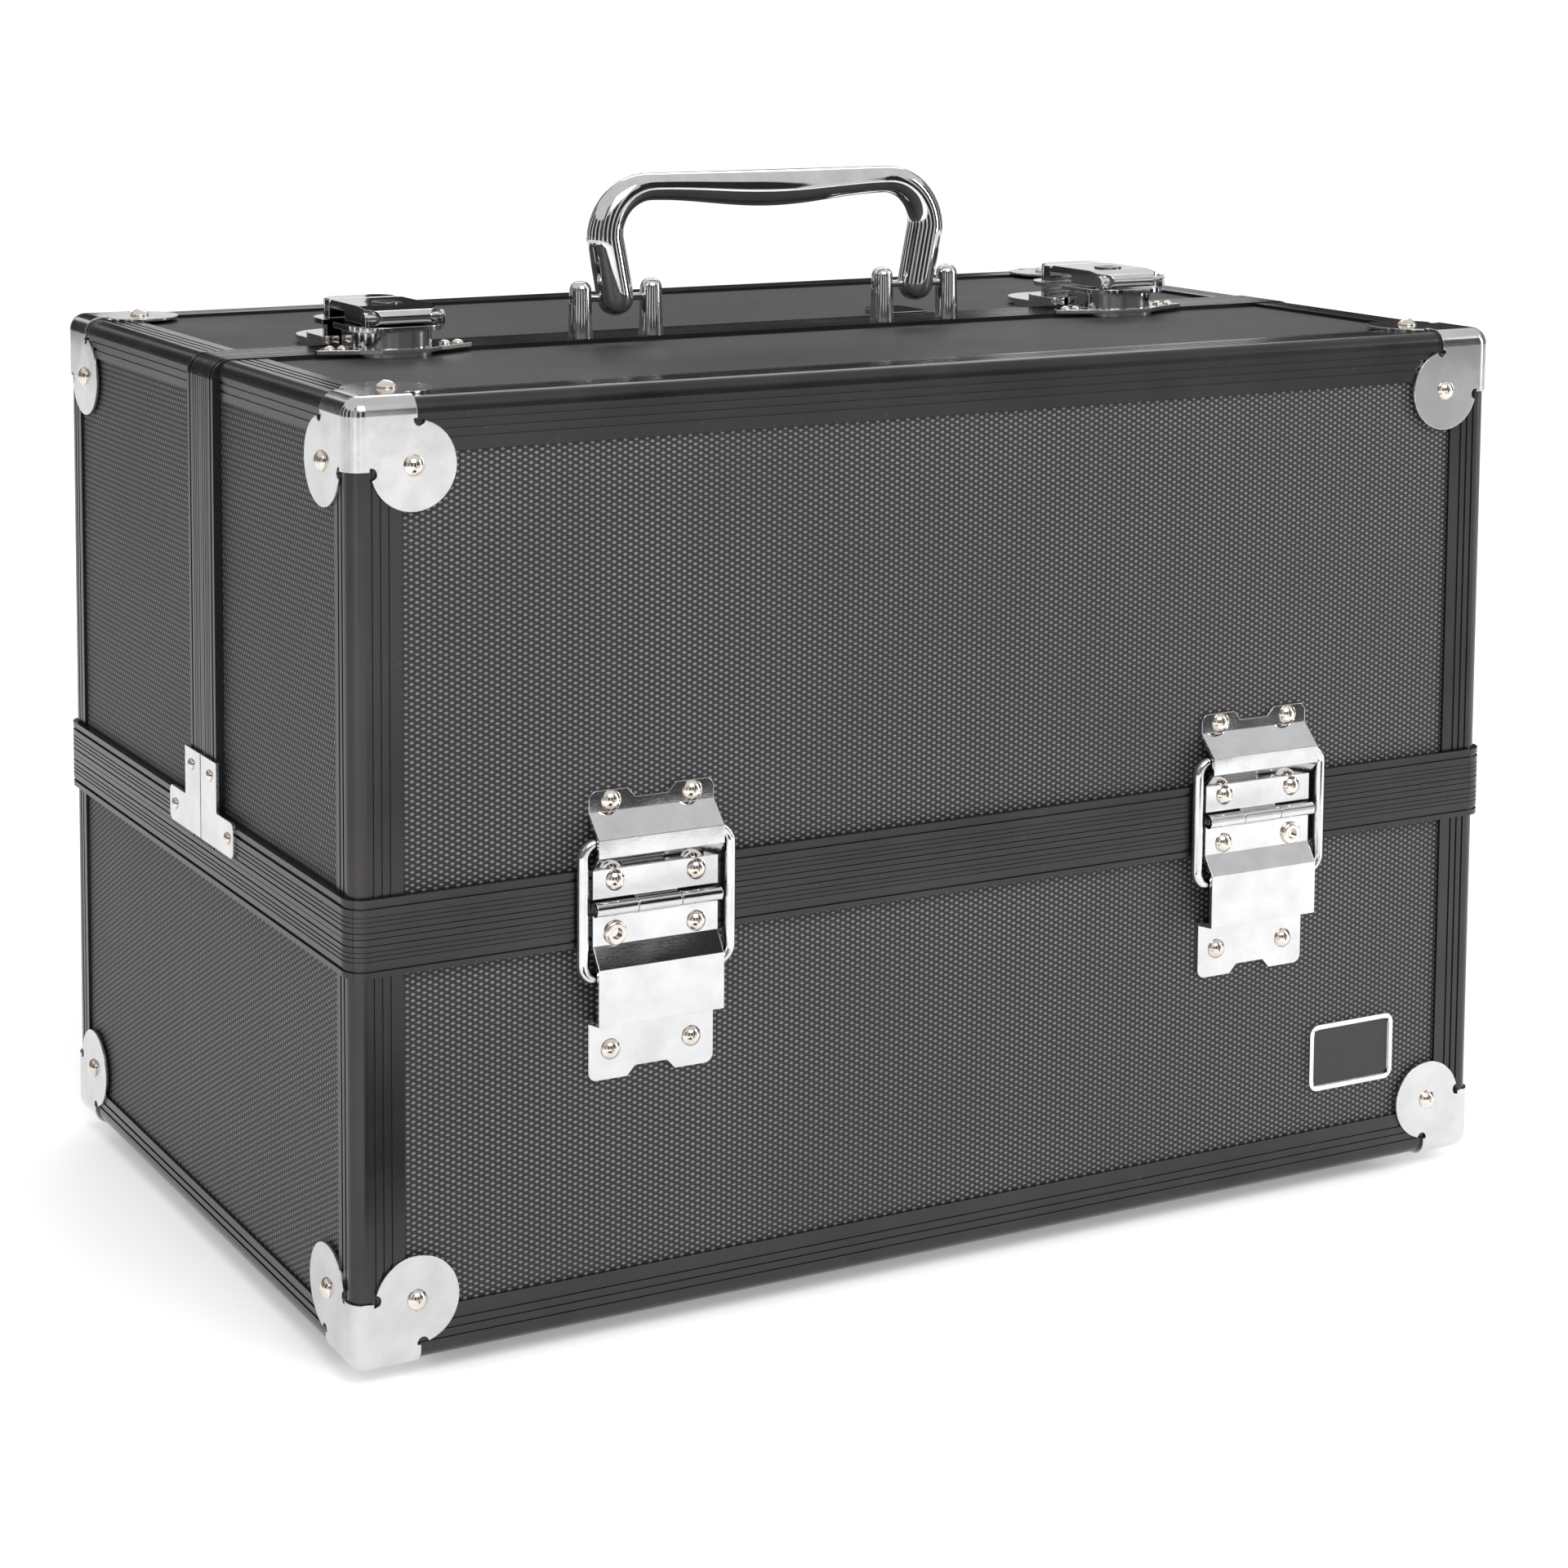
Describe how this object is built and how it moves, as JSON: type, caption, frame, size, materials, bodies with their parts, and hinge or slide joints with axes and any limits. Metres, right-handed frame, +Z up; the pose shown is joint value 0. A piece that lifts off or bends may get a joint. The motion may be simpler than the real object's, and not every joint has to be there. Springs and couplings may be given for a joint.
{
  "type": "makeup train case",
  "caption": "Hard-sided makeup train case: a base box and two half lids that swing apart and lift fan-out trays, with a bail handle, top latches and ring-stayed hinges.",
  "frame": {"origin": "on the floor under the middle of the case (bottom centre of its box)", "axes": "+Z up, -Y out of the front, +X to the right of somebody facing the front, along the case's length"},
  "size_m": [0.3732, 0.2386, 0.3029],
  "materials": {
    "shell_panel": "fine raised dot emboss, charcoal",
    "black_aluminium": "black anodised, satin, fine grooves",
    "chrome": "polished",
    "rubber": "matte",
    "tray_plastic": "moulded, fine grain",
    "divider_plastic": "moulded, fine grain",
    "zinc_steel": "bright zinc",
    "name_plate": "satin border around a black field"
  },
  "bodies": {
    "base": {"base_bottom_panel": "shell_panel", "base_front_panel": "shell_panel", "base_rear_panel": "shell_panel", "base_end_panels": "shell_panel", "base_corner_posts": "black_aluminium", "base_bottom_edges": "black_aluminium", "base_rim": "black_aluminium", "base_corner_caps": "chrome", "rubber_feet": "rubber", "base_hinge_leaves": "chrome", "base_rivets": "chrome", "hinge_pins": "zinc_steel", "arm_pivot_studs": "zinc_steel", "name_plate": "name_plate"},
    "front_lid": {"front_lid_outer_panel": "shell_panel", "front_lid_top_panel": "shell_panel", "front_lid_end_panels": "shell_panel", "front_lid_edges": "black_aluminium", "front_lid_rim": "black_aluminium", "front_lid_corner_caps": "chrome", "front_lid_brackets": "chrome", "front_lid_hinge_leaves": "chrome", "front_lid_tray_guides": "zinc_steel", "front_lid_rivets": "chrome", "latch_bases": "chrome", "handle_posts": "chrome", "handle_pins": "chrome"},
    "rear_lid": {"rear_lid_outer_panel": "shell_panel", "rear_lid_top_panel": "shell_panel", "rear_lid_end_panels": "shell_panel", "rear_lid_edges": "black_aluminium", "rear_lid_rim": "black_aluminium", "rear_lid_corner_caps": "chrome", "rear_lid_brackets": "chrome", "rear_lid_hinge_leaves": "chrome", "rear_lid_tray_guides": "zinc_steel", "rear_lid_rivets": "chrome", "latch_keepers": "chrome", "handle_rest_plate": "chrome"},
    "front_rings": {"front_hinge_rings": "chrome"},
    "front_fore_arms": {"front_fore_arms": "zinc_steel"},
    "front_aft_arms": {"front_aft_arms": "zinc_steel"},
    "front_lower_tray": {"front_lower_tray": "tray_plastic"},
    "front_middle_tray": {"front_middle_tray": "tray_plastic", "front_middle_tray_dividers": "divider_plastic"},
    "front_upper_tray": {"front_upper_tray": "tray_plastic", "front_upper_tray_dividers": "divider_plastic"},
    "rear_rings": {"rear_hinge_rings": "chrome"},
    "rear_fore_arms": {"rear_fore_arms": "zinc_steel"},
    "rear_aft_arms": {"rear_aft_arms": "zinc_steel"},
    "rear_lower_tray": {"rear_lower_tray": "tray_plastic"},
    "rear_middle_tray": {"rear_middle_tray": "tray_plastic", "rear_middle_tray_dividers": "divider_plastic"},
    "rear_upper_tray": {"rear_upper_tray": "tray_plastic", "rear_upper_tray_dividers": "divider_plastic"},
    "handle": {"handle": "chrome"},
    "left_latch": {"left_latch_lever": "chrome", "left_lock_cylinder": "chrome"},
    "right_latch": {"right_latch_lever": "chrome", "right_lock_cylinder": "chrome"}
  },
  "joints": [
    {"name": "front_lid_hinge", "type": "hinge", "parent": "base", "child": "front_lid", "pos_m": [0, -0.1167, 0.1185], "axis": [1, 0, 0], "range_deg": [0, 90]},
    {"name": "front_ring_swing", "type": "hinge", "parent": "base", "child": "front_rings", "pos_m": [0, -0.0999, 0.0978], "axis": [1, 0, 0], "range_deg": [0, 33.3]},
    {"name": "front_fore_arm_swing", "type": "hinge", "parent": "base", "child": "front_fore_arms", "pos_m": [0, -0.08, 0.1135], "axis": [1, 0, 0], "range_deg": [0, 48]},
    {"name": "front_aft_arm_swing", "type": "hinge", "parent": "base", "child": "front_aft_arms", "pos_m": [0, -0.038, 0.1135], "axis": [1, 0, 0], "range_deg": [0, 48]},
    {"name": "front_lower_tray_level", "type": "hinge", "parent": "front_fore_arms", "child": "front_lower_tray", "pos_m": [0, -0.08, 0.1445], "axis": [1, 0, 0], "range_deg": [-48, 0]},
    {"name": "front_middle_tray_level", "type": "hinge", "parent": "front_fore_arms", "child": "front_middle_tray", "pos_m": [0, -0.08, 0.1845], "axis": [1, 0, 0], "range_deg": [-48, 0]},
    {"name": "front_upper_tray_level", "type": "hinge", "parent": "front_fore_arms", "child": "front_upper_tray", "pos_m": [0, -0.08, 0.2245], "axis": [1, 0, 0], "range_deg": [-48, 0]},
    {"name": "rear_lid_hinge", "type": "hinge", "parent": "base", "child": "rear_lid", "pos_m": [0, 0.1167, 0.1185], "axis": [-1, 0, 0], "range_deg": [0, 90]},
    {"name": "rear_ring_swing", "type": "hinge", "parent": "base", "child": "rear_rings", "pos_m": [0, 0.0999, 0.0978], "axis": [-1, 0, 0], "range_deg": [0, 33.3]},
    {"name": "rear_fore_arm_swing", "type": "hinge", "parent": "base", "child": "rear_fore_arms", "pos_m": [0, 0.08, 0.1135], "axis": [-1, 0, 0], "range_deg": [0, 48]},
    {"name": "rear_aft_arm_swing", "type": "hinge", "parent": "base", "child": "rear_aft_arms", "pos_m": [0, 0.038, 0.1135], "axis": [-1, 0, 0], "range_deg": [0, 48]},
    {"name": "rear_lower_tray_level", "type": "hinge", "parent": "rear_fore_arms", "child": "rear_lower_tray", "pos_m": [0, 0.08, 0.1445], "axis": [-1, 0, 0], "range_deg": [-48, 0]},
    {"name": "rear_middle_tray_level", "type": "hinge", "parent": "rear_fore_arms", "child": "rear_middle_tray", "pos_m": [0, 0.08, 0.1845], "axis": [-1, 0, 0], "range_deg": [-48, 0]},
    {"name": "rear_upper_tray_level", "type": "hinge", "parent": "rear_fore_arms", "child": "rear_upper_tray", "pos_m": [0, 0.08, 0.2245], "axis": [-1, 0, 0], "range_deg": [-48, 0]},
    {"name": "handle_swing", "type": "hinge", "parent": "front_lid", "child": "handle", "pos_m": [-0.008, -0.0146, 0.2666], "axis": [1, 0, 0], "range_deg": [-90, 90]},
    {"name": "left_latch_swing", "type": "hinge", "parent": "front_lid", "child": "left_latch", "pos_m": [-0.131, -0.026, 0.2653], "axis": [1, 0, 0], "range_deg": [0, 110]},
    {"name": "right_latch_swing", "type": "hinge", "parent": "front_lid", "child": "right_latch", "pos_m": [0.115, -0.026, 0.2653], "axis": [1, 0, 0], "range_deg": [0, 110]}
  ],
  "couplings": [
    {"joint": "front_ring_swing", "follows": "front_lid_hinge", "ratio": 0.37},
    {"joint": "front_fore_arm_swing", "follows": "front_lid_hinge", "ratio": 0.5333},
    {"joint": "front_aft_arm_swing", "follows": "front_lid_hinge", "ratio": 0.5333},
    {"joint": "front_lower_tray_level", "follows": "front_lid_hinge", "ratio": -0.5333},
    {"joint": "front_middle_tray_level", "follows": "front_lid_hinge", "ratio": -0.5333},
    {"joint": "front_upper_tray_level", "follows": "front_lid_hinge", "ratio": -0.5333},
    {"joint": "rear_ring_swing", "follows": "rear_lid_hinge", "ratio": 0.37},
    {"joint": "rear_fore_arm_swing", "follows": "rear_lid_hinge", "ratio": 0.5333},
    {"joint": "rear_aft_arm_swing", "follows": "rear_lid_hinge", "ratio": 0.5333},
    {"joint": "rear_lower_tray_level", "follows": "rear_lid_hinge", "ratio": -0.5333},
    {"joint": "rear_middle_tray_level", "follows": "rear_lid_hinge", "ratio": -0.5333},
    {"joint": "rear_upper_tray_level", "follows": "rear_lid_hinge", "ratio": -0.5333}
  ]
}
